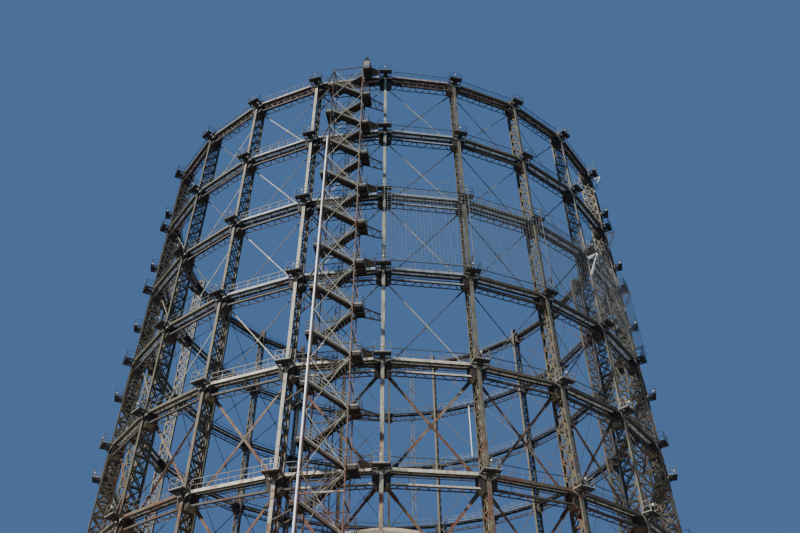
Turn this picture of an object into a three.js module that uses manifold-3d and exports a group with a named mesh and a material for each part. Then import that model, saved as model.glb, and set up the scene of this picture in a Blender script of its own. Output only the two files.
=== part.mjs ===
// Guide frame of a telescoping gas holder, a round lattice tower of 24 columns, as a 1:10 model.
// Millimetres, +Z up. The origin is on the axis at ground level, and column 1 stands at -Y.
import * as THREE from 'three';
import { mergeVertices } from 'three/addons/utils/BufferGeometryUtils.js';
import Module from 'manifold-3d';

const wasm = await Module();
wasm.setup();

// One metre of the real holder, in model millimetres.
const M = 100;
// Clearance between pieces that touch, and how far parts of one piece sink into each other.
const GAP = 0.3;
const WELD = 1;

// Driving dimensions of the frame.
const COLUMNS = 24;
const FRAME_RADIUS = 31.5 * M;
const RINGS = 8;
const TOP_DECK = 76.15 * M;
const TIER = 9.9 * M;

const COLUMN_DEPTH = 1.5 * M;
const COLUMN_WIDTH = 0.42 * M;
const CHORD = 0.14 * M;
const LACING_RISE = 0.55 * M;
const FOOT_HEIGHT = 0.3 * M;
const GABLE_EAVES = 0.8 * M;
const GABLE_PEAK = 1.6 * M;

const GIRDER_HEIGHT = 0.9 * M;
const GIRDER_PLATE = 0.1 * M;
const WINDOW_CLEARANCE = 0.05 * M;
const PLATFORM_REACH = 0.93 * M;
const PLATFORM_BRACKET = 0.45 * M;

const BRACE_THICKNESS = 0.16 * M;
const BRACE_WIDTH = 0.26 * M;
const BRACE_DROP = 0.45 * M;

// The tank inside the columns, its roof plate, and the dome on it.
const TANK_RADIUS = 29.4 * M;
const TANK_WALL = 0.3 * M;
const TANK_HEIGHT = 11.9 * M;
const ROOF_PLATE = 0.3 * M;
const DOME_RADIUS = 19 * M;
const DOME_RISE = 21.3 * M;
const DOME_SHELL = 0.3 * M;
const ANCHOR_HEIGHT = 0.5 * M;

// The stair tower outside the bay to the left of column 1. Along and out are measured from the
// middle of the tower, along the bay's side, and away from the frame. The tower stands to the right
// of the bay's middle.
const STAIR_OFFSET = 0.12 * M;
const STAIR_HALF_RUN = 1.58 * M;
const RIGHT_LANDING = 0.9 * M;
const LEFT_LANDING = 0.75 * M;
const STAIR_INNER = 0.15 * M;
const STAIR_OUTER = 2.0 * M;
const LANE_WIDTH = 0.85 * M;
const LANDING_PLATE = 0.2 * M;
const NOSING = 0.03 * M;
const FLIGHT_DEPTH = 0.3 * M;
const LANDING_DROP = 0.6 * M;
const FLIGHTS_PER_TIER = 4;
const POST = 0.12 * M;
const HEAD_DEPTH = 1.05 * M;
const PARAPET_HEIGHT = 1.2 * M;
const PARAPET_PLATE = 0.08 * M;
const HOOD_RISE = 1.55 * M;
const HOOD_BAR = 0.1 * M;

const PIPE_RADIUS = 0.085 * M;
const PIPE_SIDES = 8;
const PIPE_TOP_BELOW_RING = 2.75 * M;
const PIPE_ALONG = -1.81 * M;

// The light net hung outside the first four bays to the right of column 1.
const NET_BAYS = 4;
const NET_THICKNESS = 0.08 * M;
const NET_BAR = 0.14 * M;
const NET_ROWS = 3;
const NET_TOP_ABOVE_RING = 1.05 * M;
const NET_STANDOFF = 0.12 * M;

const BAY_ANGLE = (2 * Math.PI) / COLUMNS;
const HALF_BAY = BAY_ANGLE / 2;
const INNER_FACE = FRAME_RADIUS - COLUMN_DEPTH;

const deckHeight = (ring) => TOP_DECK - (ring - 1) * TIER;

const paint = (color, roughness, metalness) => () =>
  new THREE.MeshStandardMaterial({ color, roughness, metalness });
const tanPaint = paint('#8f826c', 0.75, 0.3);
const creamPaint = paint('#a89c84', 0.7, 0.3);
const darkPaint = paint('#5f5548', 0.8, 0.3);
const rustedSteel = paint('#78462d', 0.9, 0.2);
const whitePaint = paint('#ebebe6', 0.5, 0.1);
const netCable = paint('#c3c6c8', 0.5, 0.4);
const roofSheet = paint('#b9a88a', 0.8, 0.1);

const holder = new THREE.Group();

function addMesh(name, geometry, makeMaterial) {
  const mesh = new THREE.Mesh(geometry, makeMaterial());
  mesh.name = name;
  holder.add(mesh);
  return mesh;
}

function bare(geometry) {
  const plain = geometry.index ? geometry : geometry.clone();
  plain.deleteAttribute('normal');
  plain.deleteAttribute('uv');
  return mergeVertices(plain, 1e-3);
}

function toSolid(geometry) {
  const welded = bare(geometry);
  return new wasm.Manifold(
    new wasm.Mesh({
      numProp: 3,
      vertProperties: new Float32Array(welded.attributes.position.array),
      triVerts: new Uint32Array(welded.index.array),
    }),
  );
}

function toGeometry(solid) {
  const mesh = solid.getMesh();
  const geometry = new THREE.BufferGeometry();
  geometry.setAttribute('position', new THREE.BufferAttribute(mesh.vertProperties, 3));
  geometry.setIndex(new THREE.BufferAttribute(mesh.triVerts, 1));
  return geometry;
}

function fuse(geometries) {
  return toGeometry(geometries.map(toSolid).reduce((joined, next) => joined.add(next)));
}

function polygon(points) {
  return new THREE.Shape(points.map(([x, y]) => new THREE.Vector2(x, y)));
}

function cutOut(shape, points) {
  shape.holes.push(new THREE.Path(points.map(([x, y]) => new THREE.Vector2(x, y))));
}

function extrude(shape, depth) {
  return new THREE.ExtrudeGeometry(shape, { depth, steps: 1, bevelEnabled: false });
}

// A box from its lowest to its highest corner.
function box([x0, y0, z0], [x1, y1, z1]) {
  const geometry = new THREE.BoxGeometry(x1 - x0, y1 - y0, z1 - z0);
  return geometry.translate((x0 + x1) / 2, (y0 + y1) / 2, (z0 + z1) / 2);
}

// A profile of [radius, height] points turned round the axis, with a corner at every column.
function turned(profile, segments = COLUMNS) {
  const points = profile.map(([radius, height]) => new THREE.Vector2(radius, height));
  return bare(new THREE.LatheGeometry(points, segments).rotateX(Math.PI / 2));
}

// The zigzag lacing between two heights of a column, as the holes beside its two bars: it starts
// and ends at the outer chord and turns at the inner one.
function lacing(bottom, top) {
  const middle = (bottom + top) / 2;
  const outer = FRAME_RADIUS - CHORD;
  const inner = INNER_FACE + CHORD;
  const slope = (middle - LACING_RISE / 2 - bottom) / (outer - inner);
  const apex = inner + LACING_RISE / 2 / slope;
  return {
    below: [inner, middle - LACING_RISE / 2],
    above: [inner, middle + LACING_RISE / 2],
    between: [[outer, bottom + LACING_RISE], [outer, top - LACING_RISE], [apex, middle]],
  };
}

// One column is a radial ladder of two chords and their lacing. The ring girders thread the windows
// at the deck heights, and a platform bracket stands out from the outer chord at each of them.
function columnGeometry() {
  const outer = FRAME_RADIUS - CHORD;
  const inner = INNER_FACE + CHORD;
  const outline = [[INNER_FACE, 0], [FRAME_RADIUS, 0]];
  for (let ring = RINGS; ring >= 1; ring -= 1) {
    const deck = deckHeight(ring);
    outline.push([FRAME_RADIUS, deck - PLATFORM_BRACKET]);
    outline.push([FRAME_RADIUS + PLATFORM_REACH, deck]);
    outline.push([FRAME_RADIUS, deck]);
  }
  outline.push([FRAME_RADIUS, TOP_DECK + GABLE_EAVES]);
  outline.push([FRAME_RADIUS - COLUMN_DEPTH / 2, TOP_DECK + GABLE_PEAK]);
  outline.push([INNER_FACE, TOP_DECK + GABLE_EAVES]);
  const anchorTop = TANK_HEIGHT - ROOF_PLATE - GAP;
  outline.push([INNER_FACE, anchorTop]);
  outline.push([TANK_RADIUS + GAP, anchorTop]);
  outline.push([TANK_RADIUS + GAP, anchorTop - ANCHOR_HEIGHT]);
  outline.push([INNER_FACE, anchorTop - ANCHOR_HEIGHT]);

  const shape = polygon(outline);
  let bottom = FOOT_HEIGHT;
  let heel = [[inner, bottom], [outer, bottom]];
  for (let ring = RINGS; ring >= 1; ring -= 1) {
    const windowBottom = deckHeight(ring) - GIRDER_HEIGHT - WINDOW_CLEARANCE;
    const windowTop = deckHeight(ring) + WINDOW_CLEARANCE;
    const { below, above, between } = lacing(bottom, windowBottom);
    cutOut(shape, [...heel, below]);
    cutOut(shape, between);
    heel = [above, [outer, windowBottom], [outer, windowTop]];
    bottom = windowTop;
  }
  cutOut(shape, [...heel, [inner, bottom]]);
  return extrude(shape, COLUMN_WIDTH).rotateX(Math.PI / 2).translate(0, COLUMN_WIDTH / 2, 0);
}

function addColumns() {
  const geometry = bare(columnGeometry());
  for (let column = 0; column < COLUMNS; column += 1) {
    const name = `column_${String(column + 1).padStart(2, '0')}`;
    const mesh = addMesh(name, geometry, tanPaint);
    mesh.rotation.z = column * BAY_ANGLE - Math.PI / 2;
  }
}

// A ring girder: the walkway plate on two webs. It fills the windows between the chords, less the
// clearance that a straight side needs in front of the inner chord.
function addRingGirders() {
  const outer = FRAME_RADIUS - CHORD - GAP;
  const setBack = (COLUMN_WIDTH / 2) * Math.tan(HALF_BAY);
  const inner = INNER_FACE + CHORD + setBack + GAP;
  for (let ring = 1; ring <= RINGS; ring += 1) {
    const deck = deckHeight(ring);
    const foot = deck - GIRDER_HEIGHT;
    const profile = [
      [outer, foot], [outer, deck], [inner, deck], [inner, foot],
      [inner + GIRDER_PLATE, foot], [inner + GIRDER_PLATE, deck - GIRDER_PLATE],
      [outer - GIRDER_PLATE, deck - GIRDER_PLATE], [outer - GIRDER_PLATE, foot], [outer, foot],
    ];
    addMesh(`ring_girder_${ring}`, turned(profile), creamPaint);
  }
}

// Repeats the elevation of one bay along the sides of the ring. A bay is drawn from -1 to 1 along
// its side, its plate grows outwards from the radius, and its ends lie on the columns' radial
// planes, where neighbours share their corners.
function runOfBays(elevation, radius, thickness, firstBay, bays) {
  const source = extrude(elevation, thickness).attributes.position;
  const closed = bays === COLUMNS;
  const positions = [];
  for (let index = 0; index < bays; index += 1) {
    const number = firstBay + index;
    for (let corner = 0; corner < source.count; corner += 3) {
      const alongs = [0, 1, 2].map((step) => source.getX(corner + step));
      const onLeftEnd = alongs.every((along) => along === -1);
      const onRightEnd = alongs.every((along) => along === 1);
      const hiddenLeft = onLeftEnd && (closed || index > 0);
      const hiddenRight = onRightEnd && (closed || index < bays - 1);
      if (hiddenLeft || hiddenRight) continue;
      for (let step = 0; step < 3; step += 1) {
        const depth = source.getZ(corner + step);
        const apothem = radius * Math.cos(HALF_BAY) + depth;
        positions.push(...onRing(number, alongs[step], apothem));
        positions.push(source.getY(corner + step));
      }
    }
  }
  const geometry = new THREE.BufferGeometry();
  geometry.setAttribute('position', new THREE.Float32BufferAttribute(positions, 3));
  return mergeVertices(geometry, 1e-3);
}

// The plan position of a point on one side of the ring, from -1 to 1 along it.
function onRing(bay, along, apothem) {
  const reach = apothem / Math.cos(HALF_BAY);
  const corner = (number) => {
    const angle = (number % COLUMNS) * BAY_ANGLE;
    return new THREE.Vector2(Math.sin(angle) * reach, -Math.cos(angle) * reach);
  };
  if (along === -1) return corner(bay).toArray();
  if (along === 1) return corner(bay + 1).toArray();
  return corner(bay).lerp(corner(bay + 1), (along + 1) / 2).toArray();
}

// A tier of crossed braces against the inner chords: every bay has one X, whose ends meet those of
// its neighbours on the columns. Below each deck the tiers stand end to end.
function addBraceTiers() {
  const radius = INNER_FACE - GAP - BRACE_THICKNESS / Math.cos(HALF_BAY);
  const halfBay = radius * Math.sin(HALF_BAY);
  const halfTier = TIER / 2;
  const length = Math.hypot(halfBay, halfTier);
  const rise = (BRACE_WIDTH * length) / halfBay / 2;
  const spread = (BRACE_WIDTH * length) / halfTier / 2 / halfBay;
  const reach = halfTier - rise - GAP / 2;
  for (let tier = 1; tier < RINGS; tier += 1) {
    const middle = deckHeight(tier) - BRACE_DROP - halfTier;
    const top = middle + reach;
    const bottom = middle - reach;
    const cross = polygon([
      [-1, bottom - rise], [0, middle - rise], [1, bottom - rise], [1, bottom + rise],
      [spread, middle], [1, top - rise], [1, top + rise], [0, middle + rise],
      [-1, top + rise], [-1, top - rise], [-spread, middle], [-1, bottom + rise],
    ]);
    addMesh(`brace_tier_${tier}`, runOfBays(cross, radius, BRACE_THICKNESS, 0, COLUMNS), tanPaint);
  }
}

// The tank is a floor, a wall and a roof plate with a dome over its middle.
function addTank() {
  const wallTop = TANK_HEIGHT - ROOF_PLATE - GAP;
  const inside = TANK_RADIUS - TANK_WALL;
  const floorEdge = inside - GAP;
  const floor = [[0, 0], [floorEdge, 0], [floorEdge, TANK_WALL], [0, TANK_WALL]];
  addMesh('tank_floor', turned(floor), darkPaint);
  const wall = [[TANK_RADIUS, 0], [TANK_RADIUS, wallTop], [inside, wallTop], [inside, 0], [TANK_RADIUS, 0]];
  addMesh('tank_wall', turned(wall, 2 * COLUMNS), darkPaint);
  const eye = DOME_RADIUS - 2 * DOME_SHELL;
  const underside = TANK_HEIGHT - ROOF_PLATE;
  const roof = [
    [TANK_RADIUS, underside], [TANK_RADIUS, TANK_HEIGHT], [eye, TANK_HEIGHT], [eye, underside],
    [TANK_RADIUS, underside],
  ];
  addMesh('tank_roof', turned(roof), darkPaint);
}

function addDome() {
  const steps = 6;
  const base = TANK_HEIGHT + GAP;
  const arc = (radius, rise, step) => {
    const angle = (step / steps) * (Math.PI / 2);
    return [radius * Math.cos(angle), base + rise * Math.sin(angle)];
  };
  const profile = [];
  for (let step = 0; step < steps; step += 1) profile.push(arc(DOME_RADIUS, DOME_RISE, step));
  profile.push([0, base + DOME_RISE]);
  profile.push([0, base + DOME_RISE - DOME_SHELL]);
  for (let step = steps - 1; step >= 0; step -= 1) {
    profile.push(arc(DOME_RADIUS - DOME_SHELL, DOME_RISE - DOME_SHELL, step));
  }
  profile.push(profile[0]);
  addMesh('dome', turned(profile), roofSheet);
}

// Turns a piece drawn in the stair bay's own directions, along its side, out from the frame radius
// and up, into the ring.
function placeBesideStairBay(geometry) {
  geometry.translate(STAIR_OFFSET, -FRAME_RADIUS * Math.cos(HALF_BAY), 0);
  return geometry.rotateZ(-HALF_BAY);
}

// A height of the stair: level 0 is the top landing, and each flight goes one level down.
const flightRise = TIER / FLIGHTS_PER_TIER;
const levelHeight = (level) => TOP_DECK - LANDING_DROP - level * flightRise;

const sideOf = (level) => (level % 2 === 0 ? 1 : -1);

// One flight between two landings. Even ones run down to the left in the inner lane, and odd ones
// down to the right in the outer lane. Its lower end sinks into its own landing or stops short of
// one that belongs to the next length of stair.
function flight(level, bottom, lowerBite) {
  const side = sideOf(level);
  const high = side * (STAIR_HALF_RUN + WELD);
  const low = -side * (STAIR_HALF_RUN + lowerBite);
  const top = levelHeight(level) - NOSING;
  const outline = polygon([
    [high, top], [high, top - FLIGHT_DEPTH],
    [low, Math.max(bottom - FLIGHT_DEPTH, 0)], [low, bottom],
  ]);
  const lane = side === 1 ? STAIR_INNER : STAIR_OUTER - LANE_WIDTH;
  return extrude(outline, LANE_WIDTH).rotateX(Math.PI / 2).translate(0, -lane, 0);
}

function landing(level) {
  const side = sideOf(level);
  const length = side === 1 ? RIGHT_LANDING : LEFT_LANDING;
  const ends = [STAIR_HALF_RUN, STAIR_HALF_RUN + length].map((end) => end * side);
  const height = levelHeight(level);
  const low = [Math.min(...ends), -STAIR_OUTER, height - LANDING_PLATE];
  return box(low, [Math.max(...ends), -STAIR_INNER, height]);
}

// The stair in lengths of two tiers. The last flight of the lowest one runs down to the ground.
function addStairs() {
  const perLength = 2 * FLIGHTS_PER_TIER;
  const lastLevel = Math.floor((TOP_DECK - LANDING_DROP) / flightRise);
  for (let length = 0; length * perLength < lastLevel; length += 1) {
    const pieces = [];
    const end = Math.min((length + 1) * perLength, lastLevel + 1);
    for (let level = length * perLength; level < end; level += 1) {
      const ownLanding = level + 1 < end;
      const reachesGround = level === lastLevel;
      const bottom = reachesGround ? FLIGHT_DEPTH : levelHeight(level + 1) - NOSING;
      pieces.push(landing(level));
      pieces.push(flight(level, bottom, ownLanding || reachesGround ? WELD : -GAP));
    }
    addMesh(`stair_length_${length + 1}`, placeBesideStairBay(fuse(pieces)), darkPaint);
  }
}

// Four posts against the sides of the landings, tied together below a landing on either side in
// every tier, and tied to each ring girder. The front ones end at the top landing.
function addStairFrame() {
  const outerFace = -(STAIR_OUTER + GAP);
  const innerFace = -(STAIR_INNER - GAP);
  const rows = [
    [outerFace - POST, outerFace, levelHeight(0)],
    [innerFace, innerFace + POST, TOP_DECK],
  ];
  const near = STAIR_HALF_RUN + WELD + GAP;
  const far = near + POST;
  const pieces = [];
  for (const [back, front, top] of rows) {
    pieces.push(box([near, back, 0], [far, front, top]));
    pieces.push(box([-far, back, 0], [-near, front, top]));
  }
  const girderFace = (CHORD + GAP) * Math.cos(HALF_BAY) - GAP;
  for (let ring = 1; ring <= RINGS; ring += 1) {
    const level = (ring - 1) * FLIGHTS_PER_TIER;
    const right = levelHeight(level) - LANDING_PLATE - GAP;
    const left = right - flightRise;
    for (const [back, front] of rows) {
      pieces.push(box([-near - WELD, back, right - POST], [near + WELD, front, right]));
    }
    const [from, to] = [outerFace - WELD, innerFace + WELD];
    pieces.push(box([near, from, right - POST], [far, to, right]));
    pieces.push(box([-far, from, left - POST], [-near, to, left]));
    const tie = deckHeight(ring) - GIRDER_HEIGHT / 2;
    for (const start of [near, -far]) {
      pieces.push(box([start, innerFace, tie], [start + POST, girderFace, tie + POST]));
    }
  }
  addMesh('stair_frame', placeBesideStairBay(fuse(pieces)), rustedSteel);
}

// A square bar between two points.
function bar(from, to, width) {
  const run = new THREE.Vector3(...to).sub(new THREE.Vector3(...from));
  const geometry = new THREE.BoxGeometry(width, width, run.length());
  const up = new THREE.Vector3(0, 0, 1);
  geometry.applyQuaternion(new THREE.Quaternion().setFromUnitVectors(up, run.clone().normalize()));
  const middle = run.multiplyScalar(0.5).add(new THREE.Vector3(...from));
  return geometry.translate(...middle.toArray());
}

// The stair head: a plated parapet round the top landing, open towards the flight, under a pointed
// hood of bars.
function addStairHead() {
  const floor = levelHeight(0) + GAP;
  const left = STAIR_HALF_RUN;
  const right = STAIR_HALF_RUN + RIGHT_LANDING;
  const front = -STAIR_OUTER;
  const back = -(STAIR_OUTER - HEAD_DEPTH);
  const top = floor + PARAPET_HEIGHT;
  const inside = box(
    [left - 1, front + PARAPET_PLATE, floor - 1],
    [right - PARAPET_PLATE, back - PARAPET_PLATE, top + 1],
  );
  const parapet = toSolid(box([left, front, floor], [right, back, top])).subtract(toSolid(inside));
  const apex = [(left + right) / 2, (front + back) / 2, top + HOOD_RISE];
  const half = HOOD_BAR / 2;
  const hood = [left + half, right - half].flatMap((along) =>
    [front + half, back - half].map((out) => bar([along, out, top - HOOD_BAR], apex, HOOD_BAR)),
  );
  const head = hood.map(toSolid).reduce((joined, next) => joined.add(next), parapet);
  addMesh('stair_head', placeBesideStairBay(toGeometry(head)), darkPaint);
}

// The riser stands against the outer edges of the left landings.
function addRiserPipe() {
  const height = deckHeight(2) - PIPE_TOP_BELOW_RING;
  const pipe = new THREE.CylinderGeometry(PIPE_RADIUS, PIPE_RADIUS, height, PIPE_SIDES);
  pipe.rotateX(Math.PI / 2);
  pipe.translate(PIPE_ALONG, -(STAIR_OUTER + GAP + PIPE_RADIUS), height / 2);
  addMesh('riser_pipe', placeBesideStairBay(bare(pipe)), whitePaint);
}

// The light net, drawn as its border and main cables, and an outrigger to each column it passes.
function addLightNet() {
  const top = deckHeight(3) + NET_TOP_ABOVE_RING;
  const bottom = deckHeight(4) + NET_BAR;
  const inside = FRAME_RADIUS + PLATFORM_REACH + NET_STANDOFF;
  const elevation = polygon([[-1, bottom], [1, bottom], [1, top], [-1, top]]);
  const side = 1 - NET_BAR / (inside * Math.sin(HALF_BAY));
  const row = (top - bottom - NET_BAR) / NET_ROWS;
  for (let index = 0; index < NET_ROWS; index += 1) {
    const sill = bottom + NET_BAR + index * row;
    const head = sill + row - NET_BAR;
    cutOut(elevation, [[-side, sill], [side, sill], [side, head], [-side, head]]);
  }
  const pieces = [runOfBays(elevation, inside, NET_THICKNESS, 0, NET_BAYS)];
  const plane = inside * Math.cos(HALF_BAY);
  for (let bay = 0; bay < NET_BAYS; bay += 1) {
    const upright = box(
      [plane + WELD, -NET_BAR / 2, bottom + WELD],
      [plane + NET_THICKNESS - WELD, NET_BAR / 2, top - WELD],
    );
    pieces.push(upright.rotateZ((bay + 0.5) * BAY_ANGLE - Math.PI / 2));
  }
  for (let column = 0; column <= NET_BAYS; column += 1) {
    const outrigger = box(
      [FRAME_RADIUS + GAP, -NET_BAR / 2, top - 2 * NET_BAR],
      [inside + WELD, NET_BAR / 2, top - NET_BAR],
    );
    pieces.push(outrigger.rotateZ(column * BAY_ANGLE - Math.PI / 2));
  }
  addMesh('light_net', fuse(pieces), netCable);
}

addColumns();
addRingGirders();
addBraceTiers();
addTank();
addDome();
addStairs();
addStairFrame();
addStairHead();
addRiserPipe();
addLightNet();

export default holder;
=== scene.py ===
# Gas holder guide frame, a 1:10 scale model: the finished look of every piece.
# Blender 4.5. Lengths are in metres of the model, and real sizes are written as multiples of M.
import math

import bmesh
import bpy
from mathutils import Matrix, Vector


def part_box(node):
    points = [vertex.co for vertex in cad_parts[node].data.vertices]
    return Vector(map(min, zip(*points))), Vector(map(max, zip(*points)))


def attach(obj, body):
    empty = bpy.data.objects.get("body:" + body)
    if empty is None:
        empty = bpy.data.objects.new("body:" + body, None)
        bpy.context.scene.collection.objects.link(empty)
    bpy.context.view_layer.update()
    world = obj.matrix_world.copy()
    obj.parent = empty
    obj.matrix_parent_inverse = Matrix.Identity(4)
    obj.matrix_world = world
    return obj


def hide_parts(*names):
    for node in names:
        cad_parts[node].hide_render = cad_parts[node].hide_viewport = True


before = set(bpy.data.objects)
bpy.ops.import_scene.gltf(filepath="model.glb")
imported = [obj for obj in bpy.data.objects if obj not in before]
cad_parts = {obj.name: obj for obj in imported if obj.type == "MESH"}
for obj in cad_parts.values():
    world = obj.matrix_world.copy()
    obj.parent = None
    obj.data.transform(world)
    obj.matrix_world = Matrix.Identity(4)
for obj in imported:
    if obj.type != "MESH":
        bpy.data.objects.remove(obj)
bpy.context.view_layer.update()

# One metre of the real holder, in model metres.
M = 0.1

# Driving dimensions, the same as the solid model's.
COLUMNS = 24
BAY_ANGLE = 2 * math.pi / COLUMNS
HALF_BAY = BAY_ANGLE / 2
FRAME_RADIUS = 31.5 * M
RINGS = 8
TIER = 9.9 * M
COLUMN_DEPTH = 1.5 * M
PLATFORM_REACH = 0.93 * M
EAVES_ABOVE_DECK = 0.8 * M
TANK_RADIUS = 29.4 * M
TOP_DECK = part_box("ring_girder_1")[1].z
GABLE_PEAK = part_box("column_01")[1].z
NET_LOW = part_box("light_net")[0].z
NET_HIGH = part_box("light_net")[1].z
PIPE_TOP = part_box("riser_pipe")[1].z
HOOD_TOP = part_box("stair_head")[1].z

# The photograph's camera: a fit to the columns and decks gives its place and lens.
PHOTO_WIDTH = 800
FOCAL_PIXELS = 748.0
SENSOR_WIDTH = 36.0
EYE_DISTANCE = 2.665 * FRAME_RADIUS
EYE_HEIGHT = 1.6 * M
EYE_BEARING = math.radians(0.7)
VIEW_YAW = math.radians(0.54)
VIEW_PITCH = math.radians(40.6)
VIEW_ROLL = math.radians(0.48)


def deck_height(ring):
    return TOP_DECK - (ring - 1) * TIER


def add_object(name, data):
    new = bpy.data.objects.new(name, data)
    bpy.context.scene.collection.objects.link(new)
    return new


def add_camera():
    data = bpy.data.cameras.new("photo_camera")
    data.sensor_fit = "HORIZONTAL"
    data.sensor_width = SENSOR_WIDTH
    data.lens = SENSOR_WIDTH * FOCAL_PIXELS / PHOTO_WIDTH
    data.clip_start = 0.05
    data.clip_end = 200.0
    camera = add_object("photo_camera", data)
    place = Matrix.Translation((
        EYE_DISTANCE * math.sin(EYE_BEARING),
        -EYE_DISTANCE * math.cos(EYE_BEARING),
        EYE_HEIGHT,
    ))
    turn = Matrix.Rotation(-VIEW_YAW, 4, "Z")
    tilt = Matrix.Rotation(math.pi / 2 + VIEW_PITCH, 4, "X")
    roll = Matrix.Rotation(-VIEW_ROLL, 4, "Z")
    camera.matrix_world = place @ turn @ tilt @ roll
    bpy.context.scene.camera = camera


# Materials


def to_linear(hex_colour):
    channels = []
    for start in (1, 3, 5):
        value = int(hex_colour[start:start + 2], 16) / 255
        channels.append(value / 12.92 if value <= 0.04045 else ((value + 0.055) / 1.055) ** 2.4)
    return (*channels, 1.0)


def add_node(tree, kind, inputs=None, **settings):
    """Adds a node, sets its settings, and fills its inputs with values or links."""
    new = tree.nodes.new(kind)
    for name, value in settings.items():
        setattr(new, name, value)
    for socket, value in (inputs or {}).items():
        if isinstance(value, bpy.types.NodeSocket):
            tree.links.new(value, new.inputs[socket])
        else:
            new.inputs[socket].default_value = value
    return new


def start_material(name):
    """An empty node material and the place that its patterns are laid out from."""
    material = bpy.data.materials.new(name)
    material.use_nodes = True
    tree = material.node_tree
    tree.nodes.clear()
    return material, tree, add_node(tree, "ShaderNodeTexCoord").outputs["Object"]


def add_stains(tree, place, size, detail, roughness, first, last, most):
    """Noise of this size, and the share of dirt or rust that it gives between two of its levels."""
    noise = add_node(
        tree, "ShaderNodeTexNoise",
        {"Vector": place, "Scale": 1 / size, "Detail": detail, "Roughness": roughness},
    ).outputs["Fac"]
    share = add_node(
        tree, "ShaderNodeMapRange",
        {"Value": noise, "From Min": first, "From Max": last, "To Min": 0.0, "To Max": most},
    ).outputs["Result"]
    return noise, share


def add_surface(tree, colour, roughness, relief):
    shader = add_node(
        tree, "ShaderNodeBsdfPrincipled",
        {"Base Color": colour, "Roughness": roughness, "Normal": relief},
    )
    add_node(tree, "ShaderNodeOutputMaterial", {"Surface": shader.outputs["BSDF"]})


def painted_steel(name, paint, grime, rust, share_low, share_high, roughness=0.62):
    """Oil paint on riveted steel: streaks and blotches of dirt, and rust that breaks through more
    the lower it is. The two shares are the rusted ones near the ground and higher up."""
    material, tree, place = start_material(name)
    # Rain streaks are about a metre long and a hand wide.
    stretched = add_node(
        tree, "ShaderNodeMapping", {"Vector": place, "Scale": (1.0, 1.0, 0.18)}
    ).outputs["Vector"]
    soiled = add_stains(tree, stretched, 0.35 * M, 3.0, 0.6, 0.42, 0.66, 0.85)[1]
    blotches = add_node(
        tree, "ShaderNodeTexNoise",
        {"Vector": place, "Scale": 1 / (1.7 * M), "Detail": 6.0, "Roughness": 0.72},
    ).outputs["Fac"]
    dirty = add_node(
        tree, "ShaderNodeMix", {0: soiled, 6: to_linear(paint), 7: to_linear(grime)},
        data_type="RGBA",
    ).outputs[2]
    height = add_node(tree, "ShaderNodeSeparateXYZ", {"Vector": place}).outputs["Z"]
    # Noise lies mostly between 0.3 and 0.7, so a rusted share becomes a threshold in that range.
    threshold = add_node(
        tree, "ShaderNodeMapRange",
        {"Value": height, "From Min": 0.2 * TOP_DECK, "From Max": 0.5 * TOP_DECK,
         "To Min": 0.68 - 0.36 * share_low, "To Max": 0.68 - 0.36 * share_high},
    ).outputs["Result"]
    above = add_node(
        tree, "ShaderNodeMath", {0: blotches, 1: threshold}, operation="SUBTRACT"
    ).outputs[0]
    rusted = add_node(
        tree, "ShaderNodeMapRange",
        {"Value": above, "From Min": -0.03, "From Max": 0.06, "To Min": 0.0, "To Max": 0.9},
    ).outputs["Result"]
    flakes = add_node(
        tree, "ShaderNodeTexNoise",
        {"Vector": place, "Scale": 1 / (0.12 * M), "Detail": 2.0},
    ).outputs["Fac"]
    rust_tone = add_node(
        tree, "ShaderNodeMix",
        {0: flakes, 6: to_linear(rust), 7: to_linear("#4a3327")}, data_type="RGBA",
    ).outputs[2]
    colour = add_node(
        tree, "ShaderNodeMix", {0: rusted, 6: dirty, 7: rust_tone}, data_type="RGBA"
    ).outputs[2]
    rough = add_node(
        tree, "ShaderNodeMapRange",
        {"Value": rusted, "From Min": 0.0, "From Max": 1.0, "To Min": roughness, "To Max": 0.9},
    ).outputs["Result"]
    relief = add_node(
        tree, "ShaderNodeBump", {"Height": flakes, "Strength": 0.25, "Distance": 0.02 * M}
    ).outputs["Normal"]
    add_surface(tree, colour, rough, relief)
    return material


def wrapped_place(tree, place, radius):
    """Coordinates for a pattern wrapped round the axis: the arc at this radius, and the height."""
    parts = add_node(tree, "ShaderNodeSeparateXYZ", {"Vector": place})
    angle = add_node(
        tree, "ShaderNodeMath", {0: parts.outputs["Y"], 1: parts.outputs["X"]}, operation="ARCTAN2"
    ).outputs[0]
    arc = add_node(tree, "ShaderNodeMath", {0: angle, 1: radius}, operation="MULTIPLY").outputs[0]
    return add_node(
        tree, "ShaderNodeCombineXYZ", {"X": arc, "Y": parts.outputs["Z"]}
    ).outputs["Vector"]


def riveted_plate(name, paint, grime, seam):
    """Rolled steel plates lapped in courses, hot-riveted and painted: seams show as dark steps."""
    material, tree, place = start_material(name)
    wrapped = wrapped_place(tree, place, TANK_RADIUS)
    # Plates are 3.6 m by 1.45 m, eight courses to the tank's height.
    plates = add_node(
        tree, "ShaderNodeTexBrick",
        {"Vector": wrapped, "Color1": to_linear(paint), "Color2": to_linear(grime),
         "Mortar": to_linear(seam), "Scale": 1.0, "Mortar Size": 0.035 * M, "Mortar Smooth": 0.3,
         "Bias": -0.2, "Brick Width": 3.6 * M, "Row Height": 1.45 * M},
    )
    stained = add_stains(tree, place, 1.2 * M, 6.0, 0.7, 0.5, 0.68, 0.8)[1]
    colour = add_node(
        tree, "ShaderNodeMix",
        {0: stained, 6: plates.outputs["Color"], 7: to_linear("#6b4630")}, data_type="RGBA",
    ).outputs[2]
    relief = add_node(
        tree, "ShaderNodeBump",
        {"Height": plates.outputs["Fac"], "Strength": 0.6, "Distance": 0.03 * M}, invert=True,
    ).outputs["Normal"]
    add_surface(tree, colour, 0.7, relief)
    return material


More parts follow.
